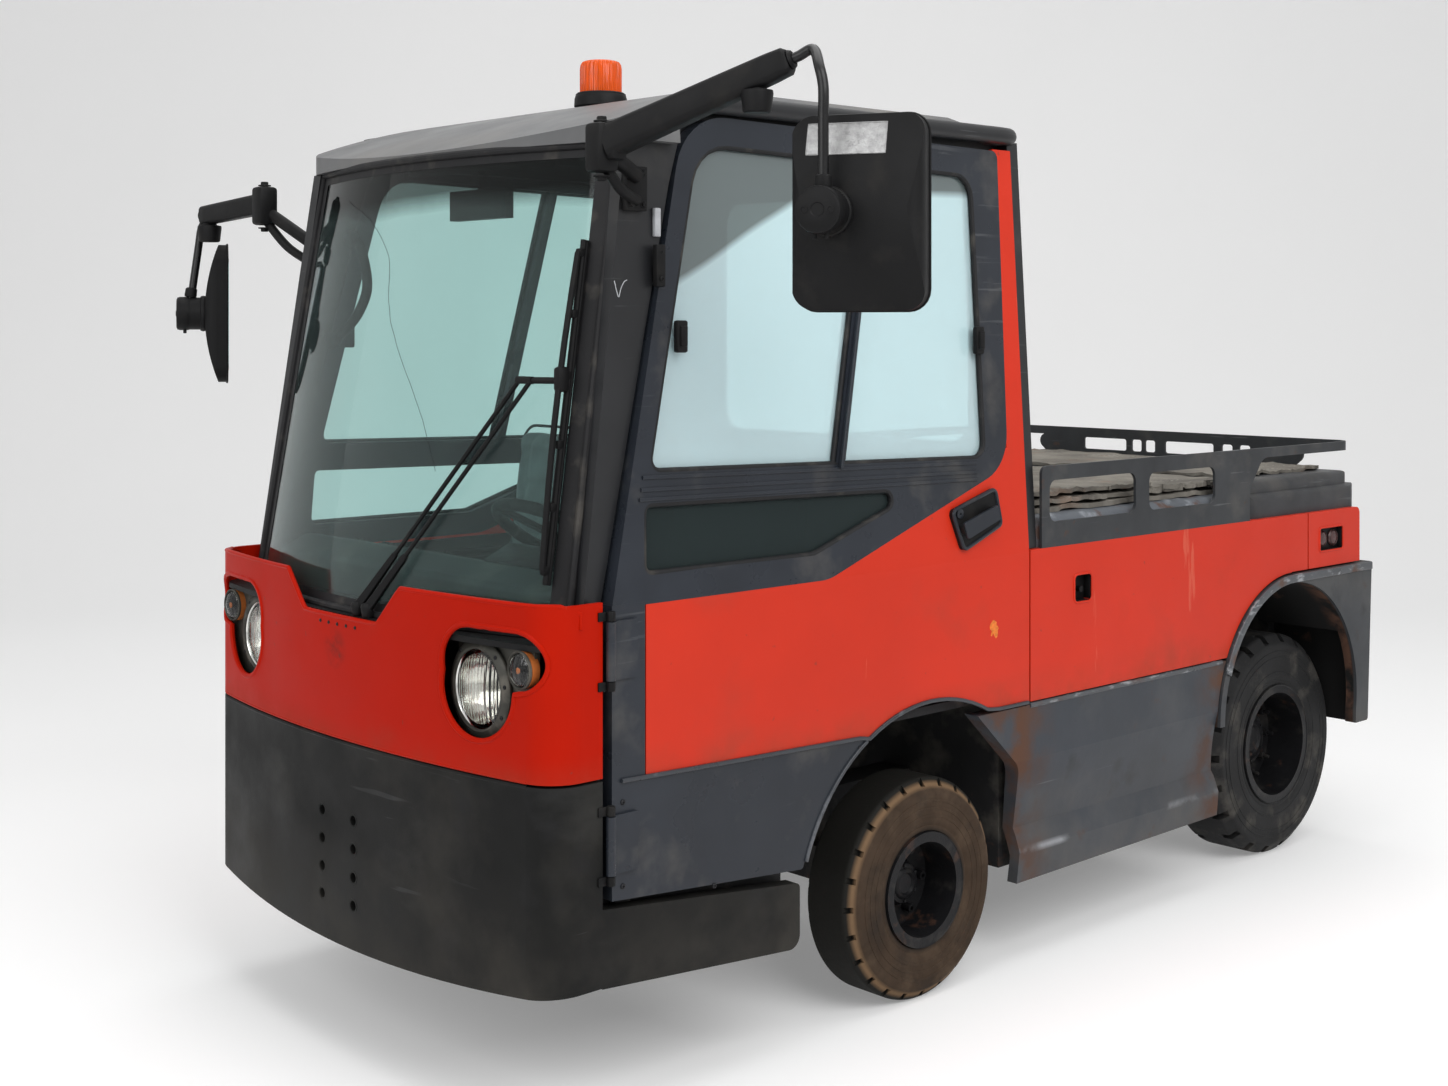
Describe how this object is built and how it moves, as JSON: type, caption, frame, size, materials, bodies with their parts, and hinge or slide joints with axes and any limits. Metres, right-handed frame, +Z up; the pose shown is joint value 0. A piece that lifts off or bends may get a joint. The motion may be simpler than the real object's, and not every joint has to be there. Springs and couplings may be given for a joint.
{
  "type": "electric airport tow tractor with cab and deck",
  "caption": "Battery electric tow tractor with closed two-seat cab, hinged doors, rear load deck with rail, steered front wheels and a stepped rear tow coupling.",
  "frame": {"origin": "on the ground under the middle of the overall length and width", "axes": "+X forward, +Y to the left side, +Z up"},
  "size_m": [3.37, 2.549, 2.264],
  "materials": {
    "red_paint": "worn gloss",
    "front_red_paint": "worn gloss",
    "grey_paint": "satin",
    "black_paint": "satin",
    "dark_steel": "matt",
    "cast": "rough",
    "black_plastic": "grained",
    "grey_plastic": "grained",
    "dash_plastic": "grained",
    "clear_lens": "gloss",
    "amber_lens": "gloss",
    "glass": "gloss",
    "mat": "ribbed, weathered",
    "seat_vinyl": "satin",
    "tyre": "matt",
    "worn_tyre": "dusty",
    "rim": "dusty",
    "floor": "matt",
    "deck": "worn"
  },
  "bodies": {
    "chassis": {"chassis_frame": "dark_steel", "front_apron": "grey_paint", "front_panel": "front_red_paint", "cowl": "grey_plastic", "headlamps": "grey_plastic", "lamp_lenses": "clear_lens", "side_skirts": "grey_paint", "rear_side_panels": "red_paint", "rear_fenders": "grey_paint", "rear_plate": "grey_paint", "tow_coupling": "cast", "deck_cover": "deck", "deck_mats": "mat", "rear_hood": "black_plastic", "deck_rails": "black_paint", "battery": "cast", "cab_frame": "black_paint", "cab_roof": "grey_plastic", "cab_rear_wall": "black_paint", "cab_glass": "glass", "cab_floor": "floor", "dashboard": "dash_plastic", "seats": "seat_vinyl", "wiper": "black_plastic", "mirror_arms": "black_paint", "mirror_heads": "black_plastic", "beacon_base": "black_plastic", "beacon_lens": "amber_lens", "door_hinges": "black_paint", "front_axle": "dark_steel", "rear_axle": "dark_steel"},
    "steering_wheel": {"steering_wheel": "black_plastic"},
    "knuckle_left": {"knuckle_left": "dark_steel"},
    "knuckle_right": {"knuckle_right": "dark_steel"},
    "tie_rod": {"tie_rod": "dark_steel"},
    "door_left": {"door_left_skin": "red_paint", "door_left_frame": "black_paint", "door_left_glass": "glass", "door_left_handle": "black_plastic"},
    "front_left_wheel": {"front_left_tyre": "worn_tyre", "front_left_rim": "rim"},
    "rear_left_wheel": {"rear_left_tyre": "tyre", "rear_left_rim": "rim"},
    "door_right": {"door_right_skin": "red_paint", "door_right_frame": "black_paint", "door_right_glass": "glass", "door_right_handle": "black_plastic"},
    "front_right_wheel": {"front_right_tyre": "worn_tyre", "front_right_rim": "rim"},
    "rear_right_wheel": {"rear_right_tyre": "tyre", "rear_right_rim": "rim"}
  },
  "joints": [
    {"name": "steer_left", "type": "hinge", "parent": "chassis", "child": "knuckle_left", "pos_m": [0.487, 0.47, 0.262], "axis": [0, 0, 1], "range_deg": [-38, 38]},
    {"name": "steer_right", "type": "hinge", "parent": "chassis", "child": "knuckle_right", "pos_m": [0.487, -0.47, 0.262], "axis": [0, 0, 1], "range_deg": [-38, 38]},
    {"name": "tie_rod_pivot", "type": "hinge", "parent": "knuckle_left", "child": "tie_rod", "pos_m": [0.377, 0.47, 0.233], "axis": [0, 0, 1], "range_deg": [-38, 38]},
    {"name": "steering_wheel_turn", "type": "hinge", "parent": "chassis", "child": "steering_wheel", "pos_m": [1.287, 0.325, 1.12], "axis": [-0.5299, 0, 0.848], "range_deg": [-684, 684]},
    {"name": "front_left_spin", "type": "hinge", "parent": "knuckle_left", "child": "front_left_wheel", "pos_m": [0.487, 0.584, 0.262], "axis": [0, 1, 0], "continuous": true},
    {"name": "rear_left_spin", "type": "hinge", "parent": "chassis", "child": "rear_left_wheel", "pos_m": [-1.23, 0.484, 0.331], "axis": [0, 1, 0], "continuous": true},
    {"name": "door_left_open", "type": "hinge", "parent": "chassis", "child": "door_left", "pos_m": [1.474, 0.691, 0.7], "axis": [0, 0, -1], "range_deg": [0, 58]},
    {"name": "front_right_spin", "type": "hinge", "parent": "knuckle_right", "child": "front_right_wheel", "pos_m": [0.487, -0.584, 0.262], "axis": [0, 1, 0], "continuous": true},
    {"name": "rear_right_spin", "type": "hinge", "parent": "chassis", "child": "rear_right_wheel", "pos_m": [-1.23, -0.484, 0.331], "axis": [0, 1, 0], "continuous": true},
    {"name": "door_right_open", "type": "hinge", "parent": "chassis", "child": "door_right", "pos_m": [1.474, -0.691, 0.7], "axis": [0, 0, 1], "range_deg": [0, 58]}
  ],
  "couplings": [
    {"joint": "steer_right", "follows": "steer_left", "ratio": 1},
    {"joint": "tie_rod_pivot", "follows": "steer_left", "ratio": -1},
    {"joint": "steering_wheel_turn", "follows": "steer_left", "ratio": 18}
  ]
}
